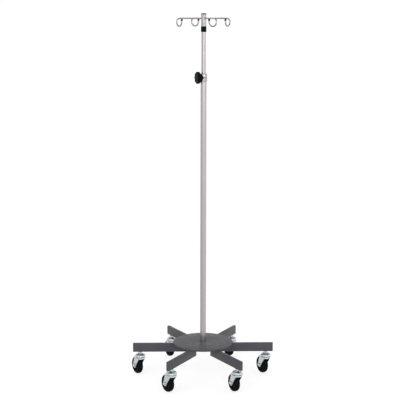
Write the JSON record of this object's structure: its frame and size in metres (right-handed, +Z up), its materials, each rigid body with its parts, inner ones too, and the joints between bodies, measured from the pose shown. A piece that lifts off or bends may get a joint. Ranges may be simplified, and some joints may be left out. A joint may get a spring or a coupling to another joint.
{
  "type": "rolling iv pole",
  "caption": "Rolling IV pole: telescoping steel tube with lock knob and pigtail bag hooks on a disc base with radial bar legs and swivel casters.",
  "frame": {"origin": "on the floor under the pole, on the pole's axis", "axes": "+Z is up along the pole; +X points along leg 1; the legs follow every 60 degrees about +Z"},
  "size_m": [0.6175, 0.5673, 1.56],
  "materials": {
    "powder_coat": "semi-gloss dark grey powder coat with a fine orange peel",
    "brushed_steel": "stainless tube, satin drawn along its length",
    "polished_steel": "polished stainless",
    "zinc": "bright zinc plate, slightly blue",
    "black_plastic": "black moulded plastic, fine satin grain",
    "cap_plastic": "dark satin moulded cap",
    "vinyl": "dipped black vinyl",
    "nylon": "natural nylon",
    "brass": "turned brass",
    "rubber": "black moulded rubber tread",
    "wheel_plastic": "black moulded wheel centre"
  },
  "bodies": {
    "base": {"base_plate": "powder_coat", "leg_1": "powder_coat", "leg_2": "powder_coat", "leg_3": "powder_coat", "leg_4": "powder_coat", "leg_5": "powder_coat", "leg_6": "powder_coat", "weld_fillets": "powder_coat", "lower_tube": "brushed_steel", "pole_plug": "zinc", "pole_bolt": "zinc", "pole_washer": "zinc", "lock_collar": "polished_steel", "collar_bush": "nylon", "lock_boss": "black_plastic", "caster_stems": "zinc", "stem_nuts": "zinc", "swivel_races": "zinc", "swivel_balls": "polished_steel"},
    "pad": {"pressure_pad": "brass"},
    "knob": {"lock_knob": "black_plastic", "knob_stud": "zinc"},
    "glide": {"glide_bush": "nylon"},
    "mast": {"upper_tube": "brushed_steel", "bumper_collar": "black_plastic", "hook_hub": "brushed_steel", "top_cap": "cap_plastic", "hook_1": "polished_steel", "hook_2": "polished_steel", "hook_3": "polished_steel", "hook_4": "polished_steel", "hook_tips": "vinyl"},
    "caster_1": {"fork_1": "zinc", "axle_1": "zinc"},
    "wheel_1": {"tyre_1": "rubber", "wheel_hub_1": "wheel_plastic"},
    "caster_2": {"fork_2": "zinc", "axle_2": "zinc"},
    "wheel_2": {"tyre_2": "rubber", "wheel_hub_2": "wheel_plastic"},
    "caster_3": {"fork_3": "zinc", "axle_3": "zinc"},
    "wheel_3": {"tyre_3": "rubber", "wheel_hub_3": "wheel_plastic"},
    "caster_4": {"fork_4": "zinc", "axle_4": "zinc"},
    "wheel_4": {"tyre_4": "rubber", "wheel_hub_4": "wheel_plastic"},
    "caster_5": {"fork_5": "zinc", "axle_5": "zinc"},
    "wheel_5": {"tyre_5": "rubber", "wheel_hub_5": "wheel_plastic"},
    "caster_6": {"fork_6": "zinc", "axle_6": "zinc"},
    "wheel_6": {"tyre_6": "rubber", "wheel_hub_6": "wheel_plastic"}
  },
  "joints": [
    {"name": "height_slide", "type": "slide", "parent": "base", "child": "glide", "axis": [0, 0, 1], "range_m": [-0.171, 0.7]},
    {"name": "mast_turn", "type": "hinge", "parent": "glide", "child": "mast", "pos_m": [0, 0, 0.47], "axis": [0, 0, 1], "continuous": true},
    {"name": "lock_pad_travel", "type": "slide", "parent": "base", "child": "pad", "axis": [-0.9455, -0.3256, 0], "range_m": [0, 0.0025]},
    {"name": "lock_knob_turn", "type": "hinge", "parent": "pad", "child": "knob", "pos_m": [0, 0, 1.2945], "axis": [-0.9455, -0.3256, 0], "range_deg": [0, 720]},
    {"name": "caster_swivel_1", "type": "hinge", "parent": "base", "child": "caster_1", "pos_m": [0.274, 0, 0.085], "axis": [0, 0, 1], "continuous": true},
    {"name": "wheel_spin_1", "type": "hinge", "parent": "caster_1", "child": "wheel_1", "pos_m": [0.26217, 0.02538, 0.0375], "axis": [-0.9063, -0.4226, 0], "continuous": true},
    {"name": "caster_swivel_2", "type": "hinge", "parent": "base", "child": "caster_2", "pos_m": [0.137, 0.23729, 0.085], "axis": [0, 0, 1], "continuous": true},
    {"name": "wheel_spin_2", "type": "hinge", "parent": "caster_2", "child": "wheel_2", "pos_m": [0.12517, 0.26267, 0.0375], "axis": [-0.9063, -0.4226, 0], "continuous": true},
    {"name": "caster_swivel_3", "type": "hinge", "parent": "base", "child": "caster_3", "pos_m": [-0.137, 0.23729, 0.085], "axis": [0, 0, 1], "continuous": true},
    {"name": "wheel_spin_3", "type": "hinge", "parent": "caster_3", "child": "wheel_3", "pos_m": [-0.14749, 0.26325, 0.0375], "axis": [-0.9272, -0.3746, 0], "continuous": true},
    {"name": "caster_swivel_4", "type": "hinge", "parent": "base", "child": "caster_4", "pos_m": [-0.274, 0, 0.085], "axis": [0, 0, 1], "continuous": true},
    {"name": "wheel_spin_4", "type": "hinge", "parent": "caster_4", "child": "wheel_4", "pos_m": [-0.28714, 0.02472, 0.0375], "axis": [-0.8829, -0.4695, 0], "continuous": true},
    {"name": "caster_swivel_5", "type": "hinge", "parent": "base", "child": "caster_5", "pos_m": [-0.137, -0.23729, 0.085], "axis": [0, 0, 1], "continuous": true},
    {"name": "wheel_spin_5", "type": "hinge", "parent": "caster_5", "child": "wheel_5", "pos_m": [-0.15184, -0.21355, 0.0375], "axis": [-0.848, -0.5299, 0], "continuous": true},
    {"name": "caster_swivel_6", "type": "hinge", "parent": "base", "child": "caster_6", "pos_m": [0.137, -0.23729, 0.085], "axis": [0, 0, 1], "continuous": true},
    {"name": "wheel_spin_6", "type": "hinge", "parent": "caster_6", "child": "wheel_6", "pos_m": [0.12517, -0.21191, 0.0375], "axis": [-0.9063, -0.4226, 0], "continuous": true}
  ],
  "couplings": [
    {"joint": "lock_pad_travel", "follows": "lock_knob_turn", "m_per_rad": 0.00019894}
  ]
}
